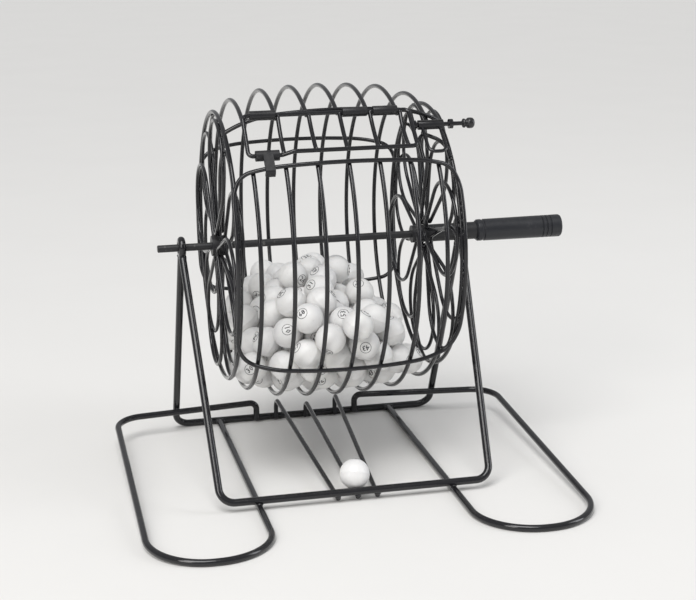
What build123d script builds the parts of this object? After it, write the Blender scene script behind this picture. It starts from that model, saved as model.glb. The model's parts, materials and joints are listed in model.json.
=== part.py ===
from build123d import *
import os
import random
from math import asin, atan2, cos, degrees, hypot, pi, radians, sin, sqrt

import numpy as np

# Bingo cage: a barrel-shaped wire drum that turns in a wire stand over a ball track.
# X runs along the axle towards the grip, Y runs away from the player, Z is up.
# The origin is on the table, straight under the middle of the drum.
# Angles round the drum start at the player's side and grow upwards.

os.makedirs("parts", exist_ok=True)

# ---- driving dimensions, mm ----
AXLE_HEIGHT = 123.0
AXLE_D = 4.0
FIT = 0.06                      # radial running clearance

HOOP_WIRE = 2.3
TIE_WIRE = 2.2
PETAL_WIRE = 2.0
STAND_WIRE = 4.0
TRACK_WIRE = 2.6

DRUM_R = 84.0                   # middle hoop, to the wire's centre
HOOP_PITCH = 16.0
CROWN_R = 300.0                 # barrel profile: a long flat crown ...
CROWN_HALF = 32.0               # ... out to here ...
SHOULDER_R = 50.0               # ... then a rounder shoulder
END_X = 57.5                    # end hoops

UPRIGHT_X = 78.0
FRONT_BAR_Y = -78.0
FRONT_BAR_HALF = 72.0           # the front legs lean in a little towards their bar
REAR_BAR_Y = 62.0
FOOT_OUTER_X = 114.0
FOOT_INNER_X = 52.0
FOOT_TIP_Y = -140.0
FOOT_START_X = 30.0
FOOT_STEP = 10.0                # how far the foot comes forward to clear the rear leg
REAR_RISE = 12.5                # height of the feet where they leave the rear bar

BALL_D = 16.0
BALL_COUNT = 144
BALL_GAP = 0.1                  # left round every loose ball

TIE_ANGLE = 39.0                # long sides of the front and rear tie frames
HINGE_ANGLE = 60.3
HINGE_R = 87.0
TOP_TIE_ANGLE = 62.7
EDGE_ANGLE = 44.0               # free edge of the door
DOOR_LEFT = -50.0
DOOR_RIGHT = 36.5

HINGE_SLEEVE_D = 5.0
HINGE_SLEEVES = ((-46.5, -33.5), (1.6, 14.4), (17.6, 30.4))
EDGE_R = 86.0                   # free edge of the door, right of the clip
RIB_INSET = 0.9                 # ribs stop inside the frame wire they are welded to

CLIP_SPAN = (-46.5, -34.5)
CLIP_R = 83.2                   # free edge of the door, where the clip turns on it
CLIP_D = 5.4
CLIP_TONGUE = 5.0               # its width along the drum
CLIP_SHEET = 1.5

GATE_ANGLE = 56.0
GATE_R = 81.5
GATE_SLEEVE = (41.0, 54.5)
GATE_SLEEVE_D = 5.0
GATE_KNOB = (65.0, 71.5)
GATE_KNOB_D = 5.6
GATE_FLAP = (43.0, 52.5)
GATE_FLAP_WIRE = 1.8
GATE_FLAP_LOW = 42.6            # angle of its free end
GATE_EYES = (38.9, 58.6)
GATE_POST_WIRE = 1.9
EXIT_LEFT = 39.8
EXIT_TOP_ANGLE = 53.5

AXLE_LEFT = -91.0
HUB_D = 11.0
HUB_LENGTH = 8.4
NECK_D = 9.6
NECK_START = 50.0
GRIP_START = 87.0
GRIP_END = 137.0
GRIP_D = 12.6
AXLE_IN_GRIP = 30.0             # how far the axle is pressed into the grip

# A wire's centre lines follow from how far welded wires sink into each other.
WELD = 0.15
FOOT_WIRE = STAND_WIRE * 0.9
FRONT_BAR_Z = FOOT_WIRE + STAND_WIRE / 2 - WELD
REAR_BAR_Z = STAND_WIRE / 2
TRACK_BACK_Y = REAR_BAR_Y - (STAND_WIRE + TRACK_WIRE) / 2 + WELD
TRACK_BACK_Z = 11.0
TRACK_FRONT_Z = FRONT_BAR_Z - (STAND_WIRE + TRACK_WIRE) / 2 + WELD
TRACK_SLOPE = (TRACK_BACK_Z - TRACK_FRONT_Z) / (TRACK_BACK_Y - FRONT_BAR_Y)
TIE_LIFT = (HOOP_WIRE + TIE_WIRE) / 2
TIE_CORNER_X = 49.5
TIE_CORNER_ANGLE = 11.0
HOOP_LOW = TIE_ANGLE + 0.8      # the hoops are open between the front tie ...
HOOP_HIGH = TOP_TIE_ANGLE - 0.4  # ... and the top tie, where the door is
LAST_HOOP_HIGH = GATE_ANGLE + 3.0

PETAL_ROOT = 11.5               # centre of a petal's inner bend
PETAL_ROOT_R = 4.0
PETAL_TIP = 46.5                # centre of its outer bend

# The heap is crowned: its surface falls away from the middle along the axle.
HEAP_TOP_X = -6.0
HEAP_CROWN = 0.015
HEAP_STEPS = 900
HEAP_PULL = 0.35
EXIT_INSET = 1.2                # the exit arch reaches this far inside the hoops


# ---- small helpers ----
def drum_radius(x):
    """Radius of the barrel profile at a place along the axle."""
    x = abs(x)
    if x <= CROWN_HALF:
        return DRUM_R - CROWN_R + sqrt(CROWN_R**2 - x**2)
    lean = CROWN_HALF / CROWN_R
    edge = DRUM_R - CROWN_R + sqrt(CROWN_R**2 - CROWN_HALF**2)
    run = lean + (x - CROWN_HALF) / SHOULDER_R
    return edge - SHOULDER_R * (sqrt(1 - lean**2) - sqrt(1 - run**2))


def on_drum(x, angle, radius):
    """A point at an angle round the drum, measured from the player's side upwards."""
    a = radians(angle)
    return Vector(x, -radius * cos(a), AXLE_HEIGHT + radius * sin(a))


def round_wire(edges, diameter):
    """A round wire swept along a chain of edges."""
    path = Wire(edges)
    section = Plane(origin=path @ 0, z_dir=path % 0) * Circle(diameter / 2)
    return sweep(section, path=path)


def bent_edges(points, bend, closed=False):
    """Straight runs through points, joined by tangent bends; bend is one radius or a list."""
    points = [Vector(*p) if isinstance(p, tuple) else p for p in points]
    count = len(points)
    corners = range(count) if closed else range(1, count - 1)
    bends = bend if isinstance(bend, list) else [bend] * len(corners)
    arcs = []
    for i, radius in zip(corners, bends):
        here, before, after = points[i], points[i - 1], points[(i + 1) % count]
        back = (before - here).normalized()
        ahead = (after - here).normalized()
        half = radians(back.get_angle(ahead)) / 2
        setback = radius * cos(half) / sin(half)
        inward = (back + ahead).normalized()
        middle = here + inward * (radius / sin(half) - radius)
        arcs.append((here + back * setback, middle, here + ahead * setback))
    edges = []
    start = arcs[-1][2] if closed else points[0]
    for first, middle, last in arcs:
        if (first - start).length > 1e-6:
            edges.append(Line(start, first))
        edges.append(ThreePointArc(first, middle, last))
        start = last
    if not closed and (points[-1] - start).length > 1e-6:
        edges.append(Line(start, points[-1]))
    return edges


def bent_wire(points, bend, diameter):
    return round_wire(bent_edges(points, bend), diameter)


def rod(start, end, diameter):
    """A straight round bar between two points."""
    start, end = Vector(*start), Vector(*end)
    plane = Plane(origin=start, z_dir=end - start)
    return extrude(plane * Circle(diameter / 2), (end - start).length)


def tube_x(x0, x1, centre, outer, bore):
    """A tube along X round a centre given as a point."""
    at = Plane(origin=(x0, centre.Y, centre.Z), z_dir=(1, 0, 0))
    return extrude(at * (Circle(outer / 2) - Circle(bore / 2)), x1 - x0)


def ring_x(x, radius, wire):
    """A wire ring round the axle."""
    return Plane(origin=(x, 0, AXLE_HEIGHT), z_dir=(1, 0, 0)) * Torus(radius, wire / 2)


def rod_x(x0, x1, centre, diameter):
    """A bar along X through the height and depth of a point."""
    return rod((x0, centre.Y, centre.Z), (x1, centre.Y, centre.Z), diameter)


def hoop_arc(x, radius, low, high, wire):
    """Part of a hoop, from one angle round the drum to another."""
    a = radians(low)
    start = Plane(on_drum(x, low, radius), x_dir=(1, 0, 0), z_dir=(0, sin(a), cos(a)))
    axis = Axis((x, 0, AXLE_HEIGHT), (-1, 0, 0))
    return revolve(start * Circle(wire / 2), axis, high - low)


def save(node, shape):
    shape.label = node
    export_step(shape, f"parts/{node}.step")


# ---- stand ----
def make_stand():
    """Two frames like the letter A share the axle eyes, and two hairpin feet carry them."""
    eye_bores = {"left": AXLE_D / 2 + FIT, "right": NECK_D / 2 + FIT}
    for side, x in (("left", -UPRIGHT_X), ("right", UPRIGHT_X)):
        save(f"{side}_axle_eye", ring_x(x, eye_bores[side] + STAND_WIRE / 2, STAND_WIRE))

    def leg_top(side, x, y_foot, z_foot):
        """Where a leg meets the outside of its axle eye."""
        reach = eye_bores[side] + STAND_WIRE - WELD
        fall = AXLE_HEIGHT - z_foot
        length = hypot(y_foot, fall)
        return (x, y_foot / length * reach, AXLE_HEIGHT - fall / length * reach)

    front = ("front_frame", FRONT_BAR_HALF, FRONT_BAR_Y, FRONT_BAR_Z)
    rear = ("rear_frame", UPRIGHT_X, REAR_BAR_Y, REAR_BAR_Z)
    for name, half, y, z in (front, rear):
        outline = [
            leg_top("left", -UPRIGHT_X, y, z),
            (-half, y, z),
            (half, y, z),
            leg_top("right", UPRIGHT_X, y, z),
        ]
        save(name, bent_wire(outline, 8.0, STAND_WIRE))

    # Each foot starts on the rear bar, rises, runs out in front of the rear leg, comes
    # forward down to the table, turns a hairpin and runs back under the front bar.
    start_y = REAR_BAR_Y - (STAND_WIRE + FOOT_WIRE) / 2 + WELD
    low = FOOT_WIRE / 2
    tip_r = (FOOT_OUTER_X - FOOT_INNER_X) / 2 - 1
    for side, s in (("left", -1), ("right", 1)):
        outline = [
            (s * FOOT_START_X, start_y, low),
            (s * FOOT_START_X, start_y, REAR_RISE),
            (s * FOOT_OUTER_X, start_y - FOOT_STEP, REAR_RISE),
            (s * FOOT_OUTER_X, FOOT_TIP_Y, low),
            (s * FOOT_INNER_X, FOOT_TIP_Y, low),
            (s * FOOT_INNER_X, REAR_BAR_Y - STAND_WIRE / 2 + WELD, low),
        ]
        save(f"{side}_foot_loop", bent_wire(outline, [4.0, 16.0, tip_r, tip_r], FOOT_WIRE))


# ---- ball track ----
def make_track():
    """Three wires from the rear bar down under the front bar; the outer two are higher."""
    for name, back_x, front_x, lift in (
        ("left", -18.0, -10.5, 3.0),
        ("middle", 0.0, 0.0, 0.0),
        ("right", 18.0, 10.5, 3.0),
    ):
        outline = [
            (back_x, TRACK_BACK_Y, TRACK_WIRE / 2),
            (back_x, TRACK_BACK_Y, TRACK_BACK_Z + lift),
            (front_x, FRONT_BAR_Y, TRACK_FRONT_Z),
        ]
        save(f"{name}_track_wire", bent_wire(outline, 5.0, TRACK_WIRE))


def make_called_ball():
    """The ball that has rolled down the middle wire to the front bar."""
    lean = atan2(TRACK_SLOPE, 1.0)
    off_wire = (BALL_D + TRACK_WIRE) / 2 + BALL_GAP
    off_bar = (BALL_D + STAND_WIRE) / 2 + BALL_GAP
    along = 0.0
    while True:
        y = FRONT_BAR_Y + along * cos(lean) - off_wire * sin(lean)
        z = TRACK_FRONT_Z + along * sin(lean) + off_wire * cos(lean)
        if hypot(y - FRONT_BAR_Y, z - FRONT_BAR_Z) >= off_bar:
            break
        along += 0.05
    save("called_ball", Location((0, y, z)) * Sphere(BALL_D / 2))
    print("called ball centre", round(y, 3), round(z, 3), "track lean", round(degrees(lean), 3))


# ---- axle, hub and grip ----
def make_axle():
    """The axle, its moulded hub and neck, and a grip with two fine grooves near its end."""
    centre = Vector(0, 0, AXLE_HEIGHT)
    axle_end = GRIP_START + AXLE_IN_GRIP
    axle = rod_x(AXLE_LEFT, axle_end, centre, AXLE_D)
    save("axle", chamfer(axle.edges().filter_by(GeomType.CIRCLE), 0.4))
    hub_ends = (-END_X - HUB_LENGTH / 2, -END_X + HUB_LENGTH / 2)
    save("left_hub", tube_x(*hub_ends, centre, HUB_D, AXLE_D))
    save("right_neck", tube_x(NECK_START, GRIP_START, centre, NECK_D, AXLE_D))
    grip = rod_x(GRIP_START, GRIP_END, centre, GRIP_D)
    grip = fillet(grip.edges().filter_by(GeomType.CIRCLE), 1.0)
    grip -= rod_x(GRIP_START - 1, axle_end, centre, AXLE_D)
    for x in (GRIP_END - 6.5, GRIP_END - 9.0):
        grip -= ring_x(x, GRIP_D / 2 + 0.2, 1.0)
    save("grip", grip)


# ---- drum: hoops, end rosettes and ties ----
def make_hoops():
    """Seven hoops with a gap for the door, and a closed hoop at each end."""
    for i in range(-3, 4):
        x = i * HOOP_PITCH
        top = HOOP_HIGH if i < 3 else LAST_HOOP_HIGH
        save(f"hoop_{i + 5}", hoop_arc(x, drum_radius(x), top, 360.0 + HOOP_LOW, HOOP_WIRE))
    for name, x in (("left_end_hoop", -END_X), ("right_end_hoop", END_X)):
        save(name, ring_x(x, drum_radius(x), HOOP_WIRE))


def make_petal(x, angle, tip_radius):
    """One closed wire loop of an end rosette, in a plane across the axle."""
    big = tip_radius - PETAL_TIP
    turn = asin((big - PETAL_ROOT_R) / (PETAL_TIP - PETAL_ROOT))

    def spot(middle, radius, a):
        along = middle + radius * cos(a)
        across = radius * sin(a)
        c, s = cos(radians(angle)), sin(radians(angle))
        return Vector(x, -(along * c - across * s), AXLE_HEIGHT + along * s + across * c)

    halves = []
    for side in (1, -1):
        wide = side * (pi / 2 + turn)
        outer = [spot(PETAL_TIP, big, a) for a in (0, wide / 2, wide)]
        bends = (wide, (wide + side * pi) / 2, pi)
        inner = [spot(PETAL_ROOT, PETAL_ROOT_R, a) for a in bends]
        edges = [ThreePointArc(*outer), Line(outer[2], inner[0]), ThreePointArc(*inner)]
        halves.append(round_wire(edges, PETAL_WIRE))
    return halves[0] + halves[1]


def make_rosettes():
    """Twelve overlapping petals close each end, in three layers of four."""
    end_r = drum_radius(END_X)
    reach = (HOOP_WIRE + PETAL_WIRE) / 2
    for side, s in (("left", -1), ("right", 1)):
        for layer, name in enumerate(("inner", "middle", "outer")):
            offset = (layer - 1) * PETAL_WIRE
            tip = end_r - sqrt(reach**2 - offset**2)
            x = s * (END_X + offset)
            loops = [make_petal(x, 90.0 * k + 30.0 * layer + 15.0, tip) for k in range(4)]
            save(f"{side}_{name}_petals", Compound(loops))


def profile_edges(angle, lift, x0, x1):
    """The barrel profile lifted outwards, between two places along the axle, as true arcs."""
    lean = CROWN_HALF / CROWN_R
    crown_x = (CROWN_R + lift) * lean

    def spot(x):
        """A point on the lifted profile."""
        if abs(x) <= crown_x:
            height = DRUM_R - CROWN_R + sqrt((CROWN_R + lift) ** 2 - x**2)
        else:
            hub_x = CROWN_HALF - SHOULDER_R * lean
            hub_r = drum_radius(CROWN_HALF) - SHOULDER_R * sqrt(1 - lean**2)
            height = hub_r + sqrt((SHOULDER_R + lift) ** 2 - (abs(x) - hub_x) ** 2)
        return on_drum(x, angle, height)

    stops = [x0] + [x for x in (-crown_x, crown_x) if x0 < x < x1] + [x1]
    return [
        ThreePointArc(spot(a), spot((a + b) / 2), spot(b))
        for a, b in zip(stops[:-1], stops[1:])
    ]


def joined_arcs(start, start_way, end, end_way):
    """Two arcs that leave one point and reach another along given directions."""
    gap = end - start
    ways = start_way + end_way
    spread = 2 * (1 - start_way.dot(end_way))
    reach = (-gap.dot(ways) + sqrt(gap.dot(ways) ** 2 + spread * gap.dot(gap))) / spread
    middle = ((start + start_way * reach) + (end - end_way * reach)) * 0.5
    first = Edge.make_tangent_arc(start, start_way, middle)
    last = Edge.make_tangent_arc(middle, first % 1, end)
    return [first, last]


def make_tie_frame(name, centre_angle, half_angle):
    """A rounded rectangle of wire laid over the hoops, along the drum and round its ends."""
    lean = CROWN_HALF / CROWN_R
    run = lean + (END_X - CROWN_HALF) / SHOULDER_R
    side_x = END_X + TIE_LIFT * run
    side_r = drum_radius(END_X) + TIE_LIFT * sqrt(1 - run**2)
    low, high = centre_angle - half_angle, centre_angle + half_angle

    def long_side(angle):
        return profile_edges(angle, TIE_LIFT, -TIE_CORNER_X, TIE_CORNER_X)

    def end_side(x):
        stops = (low + TIE_CORNER_ANGLE, centre_angle, high - TIE_CORNER_ANGLE)
        return ThreePointArc(*[on_drum(x, a, side_r) for a in stops])

    bottom, top = long_side(low), long_side(high)
    left, right = end_side(-side_x), end_side(side_x)
    corner_br = joined_arcs(bottom[-1] @ 1, bottom[-1] % 1, right @ 0, right % 0)
    corner_tr = joined_arcs(right @ 1, right % 1, top[-1] @ 1, (top[-1] % 1) * -1)
    corner_tl = joined_arcs(top[0] @ 0, (top[0] % 0) * -1, left @ 1, (left % 1) * -1)
    corner_bl = joined_arcs(left @ 0, (left % 0) * -1, bottom[0] @ 0, bottom[0] % 0)
    pieces = [bottom + corner_br, [right] + corner_tr, top, corner_tl, [left], corner_bl]
    frame = None
    for edges in pieces:
        wire = round_wire(edges, TIE_WIRE)
        frame = wire if frame is None else frame + wire
    save(name, frame)


def make_ties():
    make_tie_frame("front_tie_frame", 0.0, TIE_ANGLE)
    make_tie_frame("rear_tie_frame", 180.0, 31.0)
    save("top_tie", round_wire(profile_edges(TOP_TIE_ANGLE, TIE_LIFT, -END_X, END_X), TIE_WIRE))


# ---- loading door and its clip ----
def make_door():
    """A bent wire frame with five ribs, and the sleeves on the top tie that it turns in."""
    hinge = on_drum(0, HINGE_ANGLE, HINGE_R)

    def edge(x, radius=EDGE_R):
        return on_drum(x, EDGE_ANGLE, radius)

    def hinge_at(x):
        return Vector(x, hinge.Y, hinge.Z)

    # The frame is two bent wires that meet on the hinge and just right of the clip.
    meet = edge(CLIP_SPAN[1] + 1.5, CLIP_R)
    left = [hinge_at(0), hinge_at(DOOR_LEFT), edge(DOOR_LEFT, CLIP_R), meet]
    right = [meet, edge(CLIP_SPAN[1] + 7), edge(DOOR_RIGHT), hinge_at(DOOR_RIGHT), hinge_at(0)]
    frame = bent_wire(left, 2.5, TIE_WIRE) + bent_wire(right, [3.5, 2.5, 2.5], TIE_WIRE)
    save("door_frame", frame + Location(meet) * Sphere(TIE_WIRE / 2))
    ribs = []
    for x in (i * HOOP_PITCH for i in range(-2, 3)):
        top = hinge_at(x)
        middle = on_drum(x, (HINGE_ANGLE + EDGE_ANGLE) / 2, drum_radius(x) + 1.2)
        foot = edge(x) if x > -30 else edge(x, CLIP_R + 0.5)
        path = ThreePointArc(top, middle, foot)
        start, end = path @ (RIB_INSET / path.length), path @ (1 - RIB_INSET / path.length)
        inner = path @ 0.5
        ribs.append(round_wire([ThreePointArc(start, inner, end)], TIE_WIRE))
    save("door_ribs", Compound(ribs))

    # The left sleeve stands off the curved tie, so a weld bead fills the gap under it.
    for number, (x0, x1) in enumerate(HINGE_SLEEVES, 1):
        sleeve = tube_x(x0, x1, hinge, HINGE_SLEEVE_D, TIE_WIRE + 2 * FIT)
        if x0 < -CROWN_HALF:
            bead_at = on_drum(0, HINGE_ANGLE + 1.7, HINGE_R - 2.6)
            bead = rod_x(x0 + 3, x1 - 3, bead_at, 2.6)
            sleeve += bead - rod_x(x0, x1, hinge, HINGE_SLEEVE_D - 1)
        save(f"hinge_sleeve_{number}", sleeve)


def make_clip():
    """A bent sheet clip that turns on the door's free edge and laps over the front tie."""
    pivot = on_drum(0, EDGE_ANGLE, CLIP_R)
    sleeve = tube_x(*CLIP_SPAN, pivot, CLIP_D, TIE_WIRE + 2 * FIT)
    middle = sum(CLIP_SPAN) / 2
    tie_r = drum_radius(middle) + TIE_LIFT + TIE_WIRE / 2 + 1.1
    tongue_path = [
        on_drum(middle, EDGE_ANGLE, CLIP_R + CLIP_D / 2 - CLIP_SHEET / 2),
        on_drum(middle, TIE_ANGLE - 2.4, tie_r + CLIP_SHEET / 2),
        on_drum(middle, TIE_ANGLE - 2.9, tie_r - 2.2),
    ]
    path = Wire(bent_edges(tongue_path, 1.2))
    start = Plane(origin=path @ 0, x_dir=(1, 0, 0), z_dir=path % 0)
    tongue = sweep(start * Rectangle(CLIP_TONGUE, CLIP_SHEET), path=path)
    save("door_clip", sleeve + (tongue - rod_x(*CLIP_SPAN, pivot, TIE_WIRE + 2 * FIT)))


# ---- ball exit and its gate ----
def make_exit():
    """A hoop-wire arch on the front tie leaves one hole that a ball can pass."""
    outline = [
        on_drum(EXIT_LEFT, HOOP_LOW, drum_radius(EXIT_LEFT)),
        on_drum(EXIT_LEFT, EXIT_TOP_ANGLE, drum_radius(EXIT_LEFT)),
        on_drum(END_X - 1.5, EXIT_TOP_ANGLE - 1.0, drum_radius(END_X - 1.5)),
        on_drum(END_X - 1.0, 44.0, drum_radius(END_X) + 1.6),
    ]
    save("exit_arch", bent_wire(outline, 7.0, HOOP_WIRE * 0.9))
    gate = on_drum(0, GATE_ANGLE, GATE_R)
    for side, x in zip(("left", "right"), GATE_EYES):
        eye = tube_x(x - 1.0, x + 1.0, gate, GATE_SLEEVE_D, TIE_WIRE + 2 * FIT)
        foot_x = min(x, END_X - 0.5)
        foot = on_drum(foot_x, HOOP_HIGH, drum_radius(min(x, END_X)) + TIE_LIFT)
        way = (foot - Vector(foot_x, gate.Y, gate.Z)).normalized()
        post = rod(Vector(x, gate.Y, gate.Z) + way * GATE_POST_WIRE, foot, GATE_POST_WIRE)
        save(f"{side}_gate_eye", eye + post)


def make_gate():
    """A wire flap over the exit, on a spindle that a knob at the drum's end turns."""
    gate = on_drum(0, GATE_ANGLE, GATE_R)

    def at(x):
        return Vector(x, gate.Y, gate.Z)

    knob_start, knob_end = GATE_KNOB
    save("gate_spindle", rod_x(GATE_EYES[0] - 1.6, knob_end - 2, gate, TIE_WIRE))
    save("gate_sleeve", tube_x(*GATE_SLEEVE, gate, GATE_SLEEVE_D, TIE_WIRE))
    left, right = GATE_FLAP
    low_left, low_right = [on_drum(x, GATE_FLAP_LOW, GATE_R + 1.6) for x in GATE_FLAP]
    flap = bent_wire([at(left), low_left, low_right, at(right)], 3.5, GATE_FLAP_WIRE)
    save("gate_flap", flap - rod_x(*GATE_SLEEVE, gate, GATE_SLEEVE_D - 2 * WELD))
    knob = rod_x(knob_start, knob_end, gate, GATE_KNOB_D)
    knob = fillet(knob.edges().filter_by(GeomType.CIRCLE), 1.2)
    save("gate_knob", knob - rod_x(knob_start - 1, knob_end - 2, gate, TIE_WIRE))


# ---- the balls in the drum ----
def barrel_limit(x):
    """How far from the axle a ball's centre may be, so the ball stays inside the drum."""
    shrink = HOOP_WIRE / 2 + BALL_D / 2 + BALL_GAP
    lean = CROWN_HALF / CROWN_R
    hub_x = CROWN_HALF - SHOULDER_R * lean
    hub_r = drum_radius(CROWN_HALF) - SHOULDER_R * sqrt(1 - lean**2)
    crown_r, shoulder_r = CROWN_R - shrink, SHOULDER_R - shrink
    away = np.abs(x)
    crown = DRUM_R - CROWN_R + np.sqrt(crown_r**2 - away**2)
    shoulder = hub_r + np.sqrt(np.maximum(shoulder_r**2 - (away - hub_x) ** 2, 0))
    limit = np.where(away < crown_r * lean, crown, shoulder)
    return limit - np.where(x > EXIT_LEFT - BALL_D / 2 - HOOP_WIRE, EXIT_INSET, 0.0)


def push_apart(centres, pairs):
    """Move every two balls that overlap away from each other by half the overlap each."""
    first, second = pairs
    apart = BALL_D + BALL_GAP
    gap = centres[second] - centres[first]
    length = np.linalg.norm(gap, axis=1)
    close = length < apart
    push = gap[close] * ((apart - length[close]) / length[close] / 2)[:, None]
    np.add.at(centres, first[close], -push)
    np.add.at(centres, second[close], push)


def settle_balls():
    """Drop the balls into the barrel and let them roll to rest; returns their centres."""
    pick = random.Random(5)
    half = END_X - 1.5 * PETAL_WIRE - BALL_D / 2 - BALL_GAP
    axle_gap = (AXLE_D + BALL_D) / 2 + BALL_GAP
    room = ((-45, 45), (-45, 45), (-60, -5))
    centres = np.array([[pick.uniform(*span) for span in room] for _ in range(BALL_COUNT)])
    pairs = np.triu_indices(BALL_COUNT, 1)
    for step in range(HEAP_STEPS):
        if step < HEAP_STEPS * 0.7:
            centres[:, 2] -= HEAP_PULL
            centres[:, 0] -= HEAP_PULL * 2 * HEAP_CROWN * (centres[:, 0] - HEAP_TOP_X)
        for _ in range(4):
            push_apart(centres, pairs)
            centres[:, 0] = np.clip(centres[:, 0], -half, half)
            radius = np.hypot(centres[:, 1], centres[:, 2])
            wanted = np.clip(radius, axle_gap, barrel_limit(centres[:, 0]))
            centres[:, 1:] *= (wanted / radius)[:, None]
    gap = np.linalg.norm(centres[pairs[1]] - centres[pairs[0]], axis=1).min()
    print("closest balls", round(float(gap), 3), "highest", round(float(centres[:, 2].max()), 1))
    return centres


def make_balls():
    balls = [
        Location((x, y, AXLE_HEIGHT + z)) * Sphere(BALL_D / 2)
        for x, y, z in settle_balls().tolist()
    ]
    save("ball_heap", Compound(balls))


make_stand()
make_track()
make_called_ball()
make_axle()
make_hoops()
make_rosettes()
make_ties()
make_door()
make_clip()
make_exit()
make_gate()
make_balls()
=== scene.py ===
# %% [markdown]
# # A wire bingo cage
# The cage is a barrel of thin enamelled hoops on an axle, in a stand of thicker wire.
# The CAD model already holds every wire at its true size. This lesson gives the wires
# their enamel, adds what the welder, the press and the printer leave on such a cage,
# and lights it.

# %% Load the frame
import json
import math
import random

import bpy
from mathutils import Matrix, Quaternion, Vector
from mathutils.bvhtree import BVHTree
from mathutils.geometry import closest_point_on_tri


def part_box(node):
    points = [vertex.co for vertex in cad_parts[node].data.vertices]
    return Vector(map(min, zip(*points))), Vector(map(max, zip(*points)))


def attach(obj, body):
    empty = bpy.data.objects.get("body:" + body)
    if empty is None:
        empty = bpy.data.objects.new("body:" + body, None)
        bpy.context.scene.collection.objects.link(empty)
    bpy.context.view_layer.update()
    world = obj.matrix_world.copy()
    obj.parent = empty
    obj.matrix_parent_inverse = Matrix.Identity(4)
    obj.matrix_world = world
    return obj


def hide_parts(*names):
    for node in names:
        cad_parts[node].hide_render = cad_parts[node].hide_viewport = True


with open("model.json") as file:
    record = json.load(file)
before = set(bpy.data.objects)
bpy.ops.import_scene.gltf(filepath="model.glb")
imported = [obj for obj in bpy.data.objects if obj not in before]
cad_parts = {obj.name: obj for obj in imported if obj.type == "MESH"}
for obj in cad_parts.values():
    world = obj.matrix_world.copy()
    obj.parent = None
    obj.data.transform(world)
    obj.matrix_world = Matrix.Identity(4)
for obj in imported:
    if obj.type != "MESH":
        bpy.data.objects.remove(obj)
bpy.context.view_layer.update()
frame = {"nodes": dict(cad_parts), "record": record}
nodes = frame["nodes"]
MM = 0.001


# %% [markdown]
# ## Small helpers
# Operators act on everything that is selected, so each piece starts from an empty
# selection. A finished piece gets its place in its mesh, its material and the body it
# moves with.

# %% Helpers for every piece
def start_clean():
    if bpy.context.object and bpy.context.object.mode != "OBJECT":
        bpy.ops.object.mode_set(mode="OBJECT")
    bpy.ops.object.select_all(action="DESELECT")


def use(piece):
    """Make one piece the only selected and active object."""
    start_clean()
    piece.select_set(True)
    bpy.context.view_layer.objects.active = piece
    return piece


def pick(piece, wanted, kind="FACE"):
    """In edit mode, select only the faces, edges or vertices whose middle is wanted."""
    bpy.ops.mesh.select_mode(type=kind)
    bpy.ops.mesh.select_all(action="DESELECT")
    bpy.ops.object.mode_set(mode="OBJECT")
    mesh = piece.data
    if kind == "VERT":
        places = [(v, v.co) for v in mesh.vertices]
    elif kind == "EDGE":
        ends = [[mesh.vertices[i].co for i in e.vertices] for e in mesh.edges]
        places = [(e, (a + b) / 2) for e, (a, b) in zip(mesh.edges, ends)]
    else:
        places = [(p, p.center) for p in mesh.polygons]
    for part, middle in places:
        part.select = bool(wanted(middle))
    bpy.ops.object.mode_set(mode="EDIT")


def join(name, parts):
    """Join several pieces into one mesh and put its place into that mesh."""
    start_clean()
    for part in parts:
        part.select_set(True)
    bpy.context.view_layer.objects.active = parts[0]
    if len(parts) > 1:
        bpy.ops.object.join()
    piece = use(parts[0])
    piece.name = name
    bpy.ops.object.transform_apply(location=True, rotation=True, scale=True)
    return piece


def copy_of(piece, place):
    """A copy with its own mesh, put at a place given as a matrix."""
    twin = piece.copy()
    twin.data = piece.data.copy()
    twin.data.transform(place)
    bpy.context.scene.collection.objects.link(twin)
    return twin


def any_way_up(source):
    """A turn picked at random, all directions alike, from a seeded source."""
    turn = Quaternion([source.gauss(0, 1) for _ in range(4)]).normalized()
    return turn.to_matrix().to_4x4()


def hand_over(piece, body, finish, smooth=40):
    """Finish a piece: smooth shading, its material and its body."""
    use(piece)
    bpy.ops.object.shade_smooth_by_angle(angle=math.radians(smooth))
    piece.data.materials.clear()
    piece.data.materials.append(finish)
    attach(piece, body)
    print(f"{piece.name}: {len(piece.data.polygons)} faces, moves with {body}")
    return piece


# %% [markdown]
# ## Effects that several finishes share
# Dipped enamel is never even: it is a touch thicker in some places, so its gloss wanders,
# and its surface has a fine orange peel. Handling adds dust on the upper side of each
# wire and small rubs. Both effects are node groups, built once and placed in each
# material with that material's own values.

# %% Node groups for the coat and for its wear
def new_group(name, inputs, outputs):
    group = bpy.data.node_groups.new(name, "ShaderNodeTree")
    number = "NodeSocketFloat"
    for label, value in inputs.items():
        socket = group.interface.new_socket(name=label, in_out="INPUT", socket_type=number)
        socket.default_value = value
    for label in outputs:
        group.interface.new_socket(name=label, in_out="OUTPUT", socket_type=number)
    return group, group.nodes.new("NodeGroupInput"), group.nodes.new("NodeGroupOutput")


def noise(tree, place, scale, detail, roughness=0.55):
    """A noise texture on a coordinate; scale is a number or a socket."""
    node = tree.nodes.new("ShaderNodeTexNoise")
    node.inputs["Detail"].default_value = detail
    node.inputs["Roughness"].default_value = roughness
    tree.links.new(place, node.inputs["Vector"])
    if isinstance(scale, (int, float)):
        node.inputs["Scale"].default_value = scale
    else:
        tree.links.new(scale, node.inputs["Scale"])
    return node.outputs["Fac"]


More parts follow.
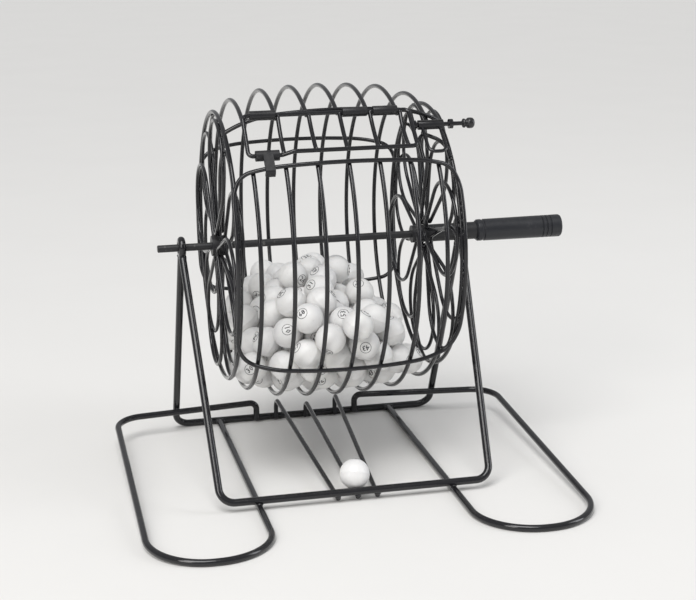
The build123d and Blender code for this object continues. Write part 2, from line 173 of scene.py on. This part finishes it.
def remap(tree, value, low, high, to_low=0.0, to_high=1.0):
    """Stretch a value from one range to another; the new ends are numbers or sockets."""
    node = tree.nodes.new("ShaderNodeMapRange")
    node.inputs["From Min"].default_value = low
    node.inputs["From Max"].default_value = high
    tree.links.new(value, node.inputs["Value"])
    for end, label in ((to_low, "To Min"), (to_high, "To Max")):
        if isinstance(end, (int, float)):
            node.inputs[label].default_value = end
        else:
            tree.links.new(end, node.inputs[label])
    return node.outputs["Result"]


def maths(tree, operation, a, b):
    """One step of arithmetic; b is a number or a socket."""
    node = tree.nodes.new("ShaderNodeMath")
    node.operation = operation
    tree.links.new(a, node.inputs[0])
    if isinstance(b, (int, float)):
        node.inputs[1].default_value = b
    else:
        tree.links.new(b, node.inputs[1])
    return node.outputs[0]


def make_uneven_coat():
    inputs = {"Patch Scale": 60.0, "Peel Scale": 900.0, "Gloss Low": 0.2, "Gloss High": 0.4}
    group, given, out = new_group("uneven_coat", inputs, ["Roughness", "Height"])
    place = group.nodes.new("ShaderNodeTexCoord").outputs["Object"]
    patches = noise(group, place, given.outputs["Patch Scale"], 3.0)
    peel = noise(group, place, given.outputs["Peel Scale"], 2.0)
    gloss = remap(group, patches, 0.3, 0.7, given.outputs["Gloss Low"], given.outputs["Gloss High"])
    group.links.new(gloss, out.inputs["Roughness"])
    group.links.new(peel, out.inputs["Height"])
    return group


def make_handled_wear():
    inputs = {"Dust": 0.3, "Rub": 0.2, "Rub Scale": 250.0}
    group, given, out = new_group("handled_wear", inputs, ["Dust Mask", "Rub Mask"])
    place = group.nodes.new("ShaderNodeTexCoord").outputs["Object"]
    facing = group.nodes.new("ShaderNodeSeparateXYZ")
    geometry = group.nodes.new("ShaderNodeNewGeometry")
    group.links.new(geometry.outputs["Normal"], facing.inputs["Vector"])
    upward = remap(group, facing.outputs["Z"], 0.2, 1.0)
    speckle = remap(group, noise(group, place, 420.0, 4.0, 0.7), 0.35, 0.75)
    settled = maths(group, "MULTIPLY", upward, speckle)
    dust = maths(group, "MULTIPLY", settled, given.outputs["Dust"])
    rubs = remap(group, noise(group, place, given.outputs["Rub Scale"], 5.0, 0.65), 0.62, 0.72)
    rub = maths(group, "MULTIPLY", rubs, given.outputs["Rub"])
    group.links.new(dust, out.inputs["Dust Mask"])
    group.links.new(rub, out.inputs["Rub Mask"])
    return group


uneven_coat = make_uneven_coat()
handled_wear = make_handled_wear()
print("effects:", uneven_coat.name, handled_wear.name)


# %% [markdown]
# ## Enamel and mouldings
# Every black part is a different black. The wires are dipped in gloss enamel, the axle
# is rubbed dull where it turns, the grip and its neck are moulded, and the sleeves are
# rolled from sheet. One builder makes them all from a colour, a range of gloss, a depth
# of orange peel, and amounts of dust and rubs.

# %% A builder for painted and moulded finishes
def mix_colours(tree, mask, first, second):
    """Blend two colours by a mask; each is a colour or a socket."""
    node = tree.nodes.new("ShaderNodeMix")
    node.data_type = "RGBA"
    tree.links.new(mask, node.inputs["Factor"])
    colours = [s for s in node.inputs if s.type == "RGBA"]
    for socket, colour in zip(colours, (first, second)):
        if isinstance(colour, tuple):
            socket.default_value = (*colour, 1)
        else:
            tree.links.new(colour, socket)
    return next(s for s in node.outputs if s.type == "RGBA")


def place_group(tree, group, **values):
    """Put a node group in a material, with its own values."""
    node = tree.nodes.new("ShaderNodeGroup")
    node.node_tree = group
    for label, value in values.items():
        node.inputs[label.replace("_", " ").title()].default_value = value
    return node


DUST_COLOUR = (0.34, 0.32, 0.29)


def make_finish(name, colour, worn, gloss, peel, dust, rub, coat=0.0, patch=60, grain=900):
    """A painted or moulded finish: uneven gloss, orange peel, faint dust and small rubs."""
    finish = bpy.data.materials.new(name)
    finish.use_nodes = True
    tree = finish.node_tree
    shader = tree.nodes["Principled BSDF"]
    shader.inputs["Coat Weight"].default_value = coat
    shader.inputs["Coat Roughness"].default_value = 0.1
    shader.inputs["IOR"].default_value = 1.45
    low, high = gloss
    surface = place_group(
        tree, uneven_coat, patch_scale=patch, peel_scale=grain, gloss_low=low, gloss_high=high
    )
    wear = place_group(tree, handled_wear, dust=dust, rub=rub)
    base = mix_colours(tree, wear.outputs["Rub Mask"], colour, worn)
    dusty = mix_colours(tree, wear.outputs["Dust Mask"], base, DUST_COLOUR)
    dulled = maths(tree, "MULTIPLY", wear.outputs["Dust Mask"], 0.8)
    rough = maths(tree, "ADD", surface.outputs["Roughness"], dulled)
    bump = tree.nodes.new("ShaderNodeBump")
    bump.inputs["Strength"].default_value = peel
    bump.inputs["Distance"].default_value = 0.05 * MM
    tree.links.new(dusty, shader.inputs["Base Color"])
    tree.links.new(rough, shader.inputs["Roughness"])
    tree.links.new(surface.outputs["Height"], bump.inputs["Height"])
    tree.links.new(bump.outputs["Normal"], shader.inputs["Normal"])
    return finish


stand_enamel = make_finish(
    "stand_enamel", (0.009, 0.009, 0.011), (0.06, 0.058, 0.055),
    gloss=(0.07, 0.18), peel=0.35, dust=0.04, rub=0.3, coat=0.25
)
cage_enamel = make_finish(
    "cage_enamel", (0.009, 0.009, 0.011), (0.06, 0.058, 0.055),
    gloss=(0.08, 0.20), peel=0.3, dust=0.03, rub=0.25, coat=0.2, grain=1300
)
axle_enamel = make_finish(
    "axle_enamel", (0.02, 0.02, 0.022), (0.16, 0.155, 0.15),
    gloss=(0.3, 0.5), peel=0.3, dust=0.08, rub=0.8, patch=120
)
sleeve_enamel = make_finish(
    "sleeve_enamel", (0.012, 0.012, 0.014), (0.10, 0.10, 0.10),
    gloss=(0.28, 0.45), peel=0.6, dust=0.10, rub=0.6, grain=1500
)
print("enamels:", stand_enamel.name, cage_enamel.name, axle_enamel.name, sleeve_enamel.name)


# %% [markdown]
# ## The moulded grip, neck and knob
# A moulding shows a fine spark-eroded grain, and a thin line along each side where the
# two halves of its mould met. The line is drawn into the bump by height: it lies level
# with the axle, so it needs no texture map. The knob is a small moulding without a line.

# %% Mouldings
AXLE_Z = sum(corner.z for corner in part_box("axle")) / 2


def add_mould_line(finish, level):
    """Raise a thin line where the surface crosses a level, on top of the finish's bump."""
    tree = finish.node_tree
    place = tree.nodes.new("ShaderNodeTexCoord").outputs["Object"]
    split = tree.nodes.new("ShaderNodeSeparateXYZ")
    tree.links.new(place, split.inputs["Vector"])
    off = maths(tree, "ABSOLUTE", maths(tree, "SUBTRACT", split.outputs["Z"], level), 0.0)
    line = maths(tree, "MULTIPLY", remap(tree, off, 0.05 * MM, 0.16 * MM, 1.0, 0.0), 1.6)
    bump = next(n for n in tree.nodes if n.type == "BUMP")
    old = bump.inputs["Height"].links[0].from_socket
    tree.links.new(maths(tree, "ADD", line, old), bump.inputs["Height"])


grip_moulding = make_finish(
    "grip_moulding", (0.017, 0.018, 0.022), (0.06, 0.06, 0.065),
    gloss=(0.30, 0.42), peel=0.35, dust=0.05, rub=0.35, grain=2600
)
neck_moulding = make_finish(
    "neck_moulding", (0.018, 0.018, 0.02), (0.06, 0.06, 0.06),
    gloss=(0.38, 0.5), peel=0.4, dust=0.06, rub=0.4, grain=2200
)
knob_moulding = make_finish(
    "knob_moulding", (0.012, 0.012, 0.014), (0.06, 0.06, 0.06),
    gloss=(0.22, 0.34), peel=0.3, dust=0.08, rub=0.4, coat=0.3, grain=1800
)
for moulding in (grip_moulding, neck_moulding):
    add_mould_line(moulding, AXLE_Z)
print("mouldings part at height, mm:", round(AXLE_Z / MM, 1))


# %% [markdown]
# ## Ball plastic and ink
# The balls are satin off-white plastic. No two are quite the same white, and tumbling
# against wire leaves faint grey scuffs. A slow noise, about as wide as a ball, tints
# them, and a finer one scuffs them. Light goes a little way into the plastic, so it has
# a small amount of subsurface scattering. The ink is a worn matt black.

# %% Ball plastic and printing ink
def make_ball_plastic():
    finish = bpy.data.materials.new("ball_plastic")
    finish.use_nodes = True
    tree = finish.node_tree
    shader = tree.nodes["Principled BSDF"]
    shader.inputs["IOR"].default_value = 1.49
    shader.inputs["Subsurface Weight"].default_value = 0.12
    shader.inputs["Subsurface Radius"].default_value = (1.0, 0.9, 0.8)
    shader.inputs["Subsurface Scale"].default_value = 1.2 * MM
    place = tree.nodes.new("ShaderNodeTexCoord").outputs["Object"]
    tint = remap(tree, noise(tree, place, 45.0, 1.0), 0.35, 0.65)
    scuff = remap(tree, noise(tree, place, 480.0, 5.0, 0.7), 0.58, 0.78, 0.0, 0.35)
    white = mix_colours(tree, tint, (0.84, 0.835, 0.82), (0.76, 0.755, 0.75))
    tree.links.new(mix_colours(tree, scuff, white, (0.42, 0.42, 0.43)), shader.inputs["Base Color"])
    gloss = remap(tree, noise(tree, place, 160.0, 3.0), 0.3, 0.7, 0.30, 0.46)
    tree.links.new(maths(tree, "ADD", gloss, scuff), shader.inputs["Roughness"])
    bump = tree.nodes.new("ShaderNodeBump")
    bump.inputs["Strength"].default_value = 0.25
    bump.inputs["Distance"].default_value = 0.05 * MM
    tree.links.new(noise(tree, place, 700.0, 3.0), bump.inputs["Height"])
    tree.links.new(bump.outputs["Normal"], shader.inputs["Normal"])
    return finish


ball_plastic = make_ball_plastic()
number_ink = make_finish(
    "number_ink", (0.03, 0.03, 0.035), (0.35, 0.35, 0.36),
    gloss=(0.5, 0.65), peel=0.2, dust=0.0, rub=0.9, grain=3000
)
print("ball finishes:", ball_plastic.name, number_ink.name)


# %% [markdown]
# ## Dressing the CAD wires
# The CAD shapes of the wires are right as they are, so each keeps its mesh and only
# gets its finish. The stand is dipped after welding, so its wires share one enamel, and
# so do the wires of the drum, the door and the gate.

# %% Finishes on the CAD nodes
def dress(names, finish):
    for name in names:
        node = nodes[name]
        node.data.materials.clear()
        node.data.materials.append(finish)


members = frame["record"]["behaviour"]["bodies"]
dress(members["stand"], stand_enamel)
dress(members["drum"] + members["door"] + members["gate"], cage_enamel)
dress(["axle"], axle_enamel)
dress(["left_hub", "right_neck"], neck_moulding)
dress(["grip"], grip_moulding)
dress(["door_clip", "gate_sleeve"], sleeve_enamel)
dress([n for n in nodes if n.startswith("hinge_sleeve")], sleeve_enamel)
dress(["gate_knob"], knob_moulding)
dress(["ball_heap", "called_ball"], ball_plastic)
print("dressed", len(nodes), "nodes")


# %% [markdown]
# ## A turned grip
# The grip is a straight moulded bar with a chamfered mouth, three fine rings near its
# end and a shallow dish in its end face. On a lathe it would be one cut profile. Here
# a disc is extruded along the axle step by step and resized at each step, which gives
# the same shape and keeps its rings evenly divided. The steps scale with the CAD grip.

# %% Turning, and the grip
def turned(name, start, steps, segments):
    """A round piece along X: a disc extruded through (distance, radius) steps."""
    start_clean()
    along, radius = steps[0]
    bpy.ops.mesh.primitive_circle_add(
        vertices=segments,
        radius=radius * MM,
        fill_type="NGON",
        location=start + Vector((along * MM, 0, 0)),
        rotation=(0, math.radians(90), 0),
    )
    piece = bpy.context.object
    piece.name = name
    bpy.ops.object.transform_apply(location=True, rotation=True, scale=True)
    bpy.ops.object.mode_set(mode="EDIT")
    bpy.ops.mesh.select_all(action="SELECT")
    for (was_at, was_r), (at, r) in zip(steps, steps[1:]):
        move = {"value": ((at - was_at) * MM, 0, 0)}
        bpy.ops.mesh.extrude_region_move(TRANSFORM_OT_translate=move)
        centre = start + Vector((at * MM, 0, 0))
        bpy.ops.transform.resize(value=(1, r / was_r, r / was_r), center_override=centre)
    bpy.ops.mesh.select_all(action="SELECT")
    bpy.ops.mesh.normals_make_consistent(inside=False)
    bpy.ops.object.mode_set(mode="OBJECT")
    return piece


def ring_steps(at, radius, depth, half):
    """A fine V groove with soft lips."""
    foot = radius - depth
    lips = [(at - half, radius), (at + half, radius)]
    return [lips[0], (at - half * 0.4, foot), (at + half * 0.4, foot), lips[1]]


grip_low, grip_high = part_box("grip")
grip_r = (grip_high.z - grip_low.z) / 2 / MM
grip_length = (grip_high.x - grip_low.x) / MM
grip_start = Vector((grip_low.x, (grip_low.y + grip_high.y) / 2, AXLE_Z))
grip_steps = [(0, grip_r - 1.6), (0.05, grip_r - 1.1), (0.9, grip_r - 0.35)]
grip_steps += [(1.6, grip_r - 0.25), (3.2, grip_r - 0.25)]
grip_steps += [(3.7, grip_r - 0.6), (4.3, grip_r - 0.6), (4.8, grip_r - 0.2)]
for back in (11.5, 9.0, 6.5):
    grip_steps += ring_steps(grip_length - back, grip_r - 0.05, 0.4, 0.45)
end_steps = [(-3.0, 0.0), (-0.9, 0.0), (-0.25, -0.35), (0, -0.95), (0, -1.6), (-0.7, -2.0)]
grip_steps += [(grip_length + along, grip_r + out) for along, out in end_steps]
dish_steps = [(-0.7, 1.4), (-0.35, 1.0), (-0.3, 0.3)]
grip_steps += [(grip_length + along, radius) for along, radius in dish_steps]
turned_grip = turned("turned_grip", grip_start, grip_steps, 64)
hand_over(turned_grip, "drum", grip_moulding, smooth=28)
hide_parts("grip")


# %% [markdown]
# ## The gate's knob
# A small pear-shaped knob is pressed on the end of the gate's spindle: a collar, a
# waist for two fingertips, and a domed barrel. It is turned in the same way.

# %% Turn the knob
knob_low, knob_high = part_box("gate_knob")
knob_r = (knob_high.z - knob_low.z) / 2 / MM
knob_length = (knob_high.x - knob_low.x) / MM
knob_start = Vector((knob_low.x, (knob_low.y + knob_high.y) / 2, (knob_low.z + knob_high.z) / 2))
collar = [(0, 0.62), (0.03, 0.78), (0.09, 0.86), (0.17, 0.86), (0.22, 0.74)]
waist = [(0.28, 0.7), (0.34, 0.74), (0.42, 0.94)]
barrel = [(0.50, 1.0), (0.72, 1.0), (0.84, 0.93), (0.93, 0.74), (0.98, 0.45), (1.0, 0.15)]
knob_steps = [(a * knob_length, r * knob_r) for a, r in collar + waist + barrel]
turned_knob = turned("turned_knob", knob_start, knob_steps, 32)
hand_over(turned_knob, "gate", knob_moulding, smooth=30)
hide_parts("gate_knob")


# %% [markdown]
# ## Rolled sleeves
# The door hangs in three sleeves, and the flap of the gate hangs on a fourth. The first
# has a bead of weld and stays as the CAD made it. Each of the others is a strip of sheet
# rolled round a wire until its edges almost meet: an open cylinder loses one narrow face
# for the slit, Solidify gives it its thickness inwards, and Bevel breaks the rims.

# %% Roll the sleeves
WALL = 1.25 * MM


def rolled_sleeve(name, node, slit_angle):
    """A slit sleeve in the place of a CAD node, its slit at an angle about X."""
    low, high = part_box(node)
    centre = (low + high) / 2
    start_clean()
    bpy.ops.mesh.primitive_cylinder_add(
        vertices=36,
        radius=(high.z - low.z) / 2,
        depth=high.x - low.x,
        end_fill_type="NOTHING",
        location=centre,
        rotation=(0, math.radians(90), 0),
    )
    sleeve = bpy.context.object
    sleeve.name = name
    bpy.ops.object.transform_apply(location=True, rotation=True, scale=True)
    bpy.ops.object.mode_set(mode="EDIT")
    angle = math.radians(slit_angle)
    slit = Vector((0, math.cos(angle), math.sin(angle)))
    nearest = max((p.center - centre).dot(slit) for p in sleeve.data.polygons)
    pick(sleeve, lambda at: (at - centre).dot(slit) > nearest - 1e-6)
    bpy.ops.mesh.delete(type="FACE")
    bpy.ops.object.mode_set(mode="OBJECT")
    thick = sleeve.modifiers.new("sheet", "SOLIDIFY")
    thick.thickness = WALL
    thick.offset = -1.0
    soft = sleeve.modifiers.new("broken_rims", "BEVEL")
    soft.width = 0.18 * MM
    soft.segments = 2
    soft.limit_method = "ANGLE"
    soft.angle_limit = math.radians(50)
    for modifier in ("sheet", "broken_rims"):
        bpy.ops.object.modifier_apply(modifier=modifier)
    return sleeve


for name, node, body, slit_angle in (
    ("rolled_sleeve_2", "hinge_sleeve_2", "drum", -145),
    ("rolled_sleeve_3", "hinge_sleeve_3", "drum", -135),
    ("rolled_gate_sleeve", "gate_sleeve", "gate", 125),
):
    sleeve = rolled_sleeve(name, node, slit_angle)
    hand_over(sleeve, body, sleeve_enamel)
    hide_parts(node)


# %% [markdown]
# ## Weld flashes
# Where two wires cross, a spot weld squeezes a little molten steel out between them,
# and the enamel rounds it off. The places come from the wires themselves: a search tree
# over each wire's faces finds where two wires come within a hair of each other, and
# each cluster of such faces is one weld.

# %% Find the welds
REACH = 0.12 * MM
trees = {}


def tree_of(name):
    """A search tree over one CAD wire's faces, kept for the next search."""
    if name not in trees:
        mesh = nodes[name].data
        corners = [v.co.copy() for v in mesh.vertices]
        faces = [tuple(p.vertices) for p in mesh.polygons]
        triangles = [tuple(corners[i] for i in face) for face in faces]
        trees[name] = (BVHTree.FromPolygons(corners, faces, epsilon=REACH), triangles)
    return trees[name]


def nearest_place(one, other):
    """Where two triangles come closest, found by stepping from one to the other."""
    at = sum(one, Vector()) / 3
    for _ in range(8):
        across = closest_point_on_tri(at, *other)
        at = closest_point_on_tri(across, *one)
    return (at + across) / 2


def welds_between(first, second, apart=3.0 * MM):
    """The middles of the places where two wires touch."""
    (tree_a, faces_a), (tree_b, faces_b) = tree_of(first), tree_of(second)
    clusters = []
    for a, b in tree_a.overlap(tree_b):
        at = nearest_place(faces_a[a], faces_b[b])
        for cluster in clusters:
            if (cluster[0] - at).length < apart:
                cluster.append(at)
                break
        else:
            clusters.append([at])
    return [sum(cluster, Vector()) / len(cluster) for cluster in clusters]


SIDES = ("left", "right")
BARS = ("front_frame", "rear_frame")
TIES = ("front_tie_frame", "rear_tie_frame", "top_tie")
LAYERS = ("inner", "middle", "outer")
hoops = [n for n in members["drum"] if n.endswith("_hoop") or n.startswith("hoop_")]
drum_pairs = [(hoop, tie) for hoop in hoops for tie in TIES]
drum_pairs += [
    (f"{side}_{layer}_petals", f"{side}_end_hoop") for side in SIDES for layer in LAYERS
]
for side in SIDES:
    middle = f"{side}_middle_petals"
    drum_pairs += [(middle, f"{side}_inner_petals"), (middle, f"{side}_outer_petals")]
drum_pairs += [("exit_arch", "right_end_hoop"), ("exit_arch", "front_tie_frame")]
foot_loops = [f"{side}_foot_loop" for side in SIDES]
track = ["left_track_wire", "middle_track_wire", "right_track_wire"]
stand_pairs = [(bar, wire) for bar in BARS for wire in foot_loops + track]
eye_pairs = [(bar, f"{side}_axle_eye") for bar in BARS for side in SIDES]


def find_welds(pairs, size):
    """(place, size) for every weld between the wires of some pairs."""
    return [(at, size) for pair in pairs for at in welds_between(*pair)]


# half the size of each flash, mm: a little more than half the wire's own gauge
THIN, DOOR, STOUT, EYE = 1.22, 1.25, 1.75, 2.25
weld_places = {
    "drum": find_welds(drum_pairs, THIN),
    "stand": find_welds(stand_pairs, STOUT) + find_welds(eye_pairs, EYE),
    "door": find_welds([("door_frame", "door_ribs")], DOOR),
}
print("welds:", {body: len(found) for body, found in weld_places.items()})


# %% [markdown]
# One flash is modelled as a low ball with a waist. Its copies are turned and sized a
# little differently, from a fixed seed, and joined into one piece for each body.

# %% Model one flash and copy it
start_clean()
bpy.ops.mesh.primitive_uv_sphere_add(segments=10, ring_count=6, radius=1.0)
flash = bpy.context.object
bpy.ops.object.mode_set(mode="EDIT")
pick(flash, lambda at: abs(at.z) < 0.3, "VERT")
bpy.ops.transform.resize(value=(1.12, 1.12, 0.8), center_override=(0, 0, 0))
bpy.ops.object.mode_set(mode="OBJECT")

chance = random.Random(11)
for body, found in weld_places.items():
    copies = []
    for at, size in found:
        turn = any_way_up(chance)
        sizes = [size * MM * chance.uniform(0.9, 1.08) for _ in range(3)]
        place = Matrix.Translation(at) @ turn @ Matrix.Diagonal((*sizes, 1))
        copies.append(copy_of(flash, place))
    slot, finish = ("stand", stand_enamel) if body == "stand" else ("wire", cage_enamel)
    hand_over(join(f"{body}_weld_flashes", copies), body, finish)
bpy.data.objects.remove(flash)


# %% [markdown]
# ## The balls
# A moulded ball is two half shells welded at the equator, where a hair-thin seam stands
# proud. The places of the balls are read from the CAD mesh: its corners are merged, and
# each group of corners that edges hold together is one ball.

# %% Where the balls lie
def ball_centres(name):
    """The middle of every loose ball in a node, read from a merged copy of its mesh."""
    probe = copy_of(nodes[name], Matrix.Identity(4))
    for key in list(probe.keys()):
        del probe[key]
    use(probe)
    bpy.ops.object.mode_set(mode="EDIT")
    bpy.ops.mesh.select_all(action="SELECT")
    bpy.ops.mesh.remove_doubles(threshold=0.001 * MM)
    bpy.ops.object.mode_set(mode="OBJECT")
    mesh = probe.data
    group = list(range(len(mesh.vertices)))

    def root(i):
        while group[i] != i:
            group[i] = group[group[i]]
            i = group[i]
        return i

    for edge in mesh.edges:
        a, b = root(edge.vertices[0]), root(edge.vertices[1])
        group[b] = a
    lows, highs = {}, {}
    for i, vertex in enumerate(mesh.vertices):
        key, co = root(i), vertex.co
        low, high = lows.get(key, co), highs.get(key, co)
        lows[key] = Vector(map(min, low, co))
        highs[key] = Vector(map(max, high, co))
    bpy.data.objects.remove(probe)
    return [(lows[key] + highs[key]) / 2 for key in lows]


heap = ball_centres("ball_heap")
called = ball_centres("called_ball")
called_low, called_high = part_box("called_ball")
BALL_R = (called_high.z - called_low.z) / 2
print(len(heap), "balls in the heap, radius mm", round(BALL_R / MM, 2))


# %% [markdown]
# One ball is modelled. Its equator is bevelled into a narrow band, and the band's middle
# is pushed out. Copies go to the places of the CAD balls, each turned at random.

# %% Model one ball with its seam
start_clean()
bpy.ops.mesh.primitive_uv_sphere_add(segments=28, ring_count=14, radius=BALL_R)
seamed = bpy.context.object
bpy.ops.object.mode_set(mode="EDIT")
pick(seamed, lambda at: abs(at.z) < 0.01 * MM, "EDGE")
bpy.ops.mesh.bevel(offset=0.22 * MM, segments=2, affect="EDGES")
pick(seamed, lambda at: abs(at.z) < 0.01 * MM, "VERT")
bpy.ops.transform.resize(value=(1.007, 1.007, 1), center_override=(0, 0, 0))
bpy.ops.object.mode_set(mode="OBJECT")
print("one ball:", len(seamed.data.polygons), "faces")

dice = random.Random(75)


heap_places = [Matrix.Translation(centre) @ any_way_up(dice) for centre in heap]
called_places = [Matrix.Translation(centre) @ any_way_up(dice) for centre in called]
seamed_heap = join("seamed_heap", [copy_of(seamed, place) for place in heap_places])
seamed_called = join("seamed_called_ball", [copy_of(seamed, place) for place in called_places])
hand_over(seamed_heap, "ball_heap", ball_plastic, smooth=30)
hand_over(seamed_called, "called_ball", ball_plastic, smooth=30)
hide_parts("ball_heap")
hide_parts("called_ball")
bpy.data.objects.remove(seamed)


# %% [markdown]
# ## The numbers
# Each ball carries its number twice, once on each half, in a thin ring. The number
# starts as text, which becomes a flat mesh. Cutting it with a few straight planes lets
# it bend, and then each of its points is dropped onto a ball a hair larger than the
# real one. A game uses the numbers from 1 to 75, so two games fill a cage this full.

# %% Print the numbers
PRINT_R = BALL_R + 0.03 * MM
PRINT_SIZE = 3.9 * MM
RING_R = 2.95 * MM


def dome(piece):
    """Bend a flat piece over the top of a ball."""
    for vertex in piece.data.vertices:
        vertex.co.z = math.sqrt(PRINT_R**2 - vertex.co.x**2 - vertex.co.y**2)


def printed_ring():
    start_clean()
    bpy.ops.mesh.primitive_circle_add(vertices=28, radius=RING_R, fill_type="NGON")
    ring = bpy.context.object
    bpy.ops.object.mode_set(mode="EDIT")
    bpy.ops.mesh.select_all(action="SELECT")
    bpy.ops.mesh.inset(thickness=0.24 * MM)
    bpy.ops.mesh.delete(type="FACE")
    bpy.ops.object.mode_set(mode="OBJECT")
    return ring


def printed_number(number):
    start_clean()
    bpy.ops.object.text_add()
    text = bpy.context.object.data
    text.body = str(number)
    text.align_x, text.align_y = "CENTER", "CENTER"
    text.size = PRINT_SIZE
    text.resolution_u = 1
    text.offset = 0.05 * MM
    bpy.ops.object.convert(target="MESH")
    digits = bpy.context.object
    bpy.ops.object.mode_set(mode="EDIT")
    for step in (-0.3, 0.0, 0.3):
        for way in ((1, 0, 0), (0, 1, 0)):
            bpy.ops.mesh.select_all(action="SELECT")
            bpy.ops.mesh.bisect(plane_co=Vector(way) * step * PRINT_SIZE, plane_no=way)
    bpy.ops.object.mode_set(mode="OBJECT")
    piece = join(f"number_{number}", [digits, printed_ring()])
    dome(piece)
    return piece


numbers = [n for n in range(1, 76)] * 2
dice.shuffle(numbers)
prints = {}
underside = Matrix.Rotation(math.pi, 4, "X")


def print_balls(name, places, body):
    marks = []
    for place in places:
        number = numbers.pop()
        if number not in prints:
            prints[number] = printed_number(number)
        marks += [copy_of(prints[number], place), copy_of(prints[number], place @ underside)]
    hand_over(join(name, marks), body, number_ink, smooth=60)


print_balls("heap_numbers", heap_places, "ball_heap")
print_balls("called_number", called_places, "called_ball")
for spare in prints.values():
    bpy.data.objects.remove(spare)


# %% [markdown]
# ## Floor, light and camera
# The cage stands on a plain pale floor, wide enough to reach the horizon.

# %% Floor
def plain(name, colour, rough):
    """A plain matt surface with the faintest mottle, so that it isn't quite flat."""
    finish = bpy.data.materials.new(name)
    finish.use_nodes = True
    tree = finish.node_tree
    shader = tree.nodes["Principled BSDF"]
    place = tree.nodes.new("ShaderNodeTexCoord").outputs["Object"]
    mottle = remap(tree, noise(tree, place, 9.0, 4.0), 0.3, 0.7)
    darker = tuple(c * 0.985 for c in colour)
    tree.links.new(mix_colours(tree, mottle, colour, darker), shader.inputs["Base Color"])
    shader.inputs["Roughness"].default_value = rough
    return finish


start_clean()
bpy.ops.mesh.primitive_circle_add(vertices=96, radius=40.0, fill_type="NGON", location=(0, 0, 0))
floor = bpy.context.object
floor.name = "pale_floor"
floor.data.materials.append(plain("pale_floor_paint", (0.80, 0.79, 0.77), 0.7))
print("floor radius, m:", round(floor.dimensions.x / 2, 2))


# %% [markdown]
# Black gloss wire shows its form only by what it reflects, so a soft box on each side
# draws a highlight along every wire. A high, very soft sun keeps the balls and the floor
# bright and lays a faint shadow. The sky is dim where it lights the cage, which keeps
# the enamel black, and paler where the camera sees it past the edge of the floor.

# %% Light
SKY_COLOUR = (0.93, 0.94, 0.96, 1)
SKY_AS_LIGHT, SKY_AS_SEEN = 0.40, 0.76
world = bpy.data.worlds.new("pale_room")
world.use_nodes = True
air = world.node_tree
lit = air.nodes["Background"]
seen = air.nodes.new("ShaderNodeBackground")
for sky, strength in ((lit, SKY_AS_LIGHT), (seen, SKY_AS_SEEN)):
    sky.inputs["Color"].default_value = SKY_COLOUR
    sky.inputs["Strength"].default_value = strength
either = air.nodes.new("ShaderNodeMixShader")
path = air.nodes.new("ShaderNodeLightPath")
air.links.new(path.outputs["Is Camera Ray"], either.inputs[0])
air.links.new(lit.outputs[0], either.inputs[1])
air.links.new(seen.outputs[0], either.inputs[2])
air.links.new(either.outputs[0], air.nodes["World Output"].inputs["Surface"])
bpy.context.scene.world = world


def add_lamp(name, kind, energy):
    """A lamp of a kind, in the scene."""
    lamp = bpy.data.lights.new(name, kind)
    lamp.energy = energy
    holder = bpy.data.objects.new(name, lamp)
    bpy.context.scene.collection.objects.link(holder)
    return holder


def soft_box(name, place, size, watts, tint):
    """A rectangular soft light that faces the middle of the drum."""
    box = add_lamp(name, "AREA", watts)
    box.data.shape = "RECTANGLE"
    box.data.size, box.data.size_y = size
    box.data.color = tint
    box.location = place
    aim = Vector((0, 0, AXLE_Z)) - box.location
    box.rotation_euler = aim.to_track_quat("-Z", "Y").to_euler()


soft_box("front_left_box", (-0.9, -0.9, 0.75), (0.5, 0.8), 6.5, (1.0, 0.98, 0.95))
soft_box("right_box", (1.1, -0.35, 0.55), (0.35, 0.9), 4, (0.95, 0.97, 1.0))
high_sun = add_lamp("high_soft_sun", "SUN", 1.9)
high_sun.data.angle = math.radians(38)
high_sun.rotation_euler = (math.radians(24), math.radians(-14), 0)


# %% [markdown]
# The camera stands a little left of the front and a little above the axle, and is turned
# by a fraction about its own line of sight.

# %% Camera
AZIMUTH, ELEVATION, ROLL = -12.0, 12.5, -0.6
DISTANCE = 0.86
az, el = math.radians(AZIMUTH), math.radians(ELEVATION)
outward = Vector((math.sin(az) * math.cos(el), -math.cos(az) * math.cos(el), math.sin(el)))
eye = Vector((0, 0, AXLE_Z)) + outward * DISTANCE
aim_at = Vector((0.009, -0.02, 0.093))
lens = bpy.data.cameras.new("viewing_camera")
lens.lens = 81
lens.sensor_width = 36
lens.clip_start = 0.01
camera = bpy.data.objects.new("viewing_camera", lens)
bpy.context.scene.collection.objects.link(camera)
camera.location = eye
level = (aim_at - eye).to_track_quat("-Z", "Y")
camera.rotation_euler = (level @ Quaternion((0, 0, 1), math.radians(ROLL))).to_euler()
bpy.context.scene.camera = camera
bpy.context.scene.view_settings.view_transform = "Standard"
print("camera stands", round((eye - aim_at).length, 3), "m from its aim")
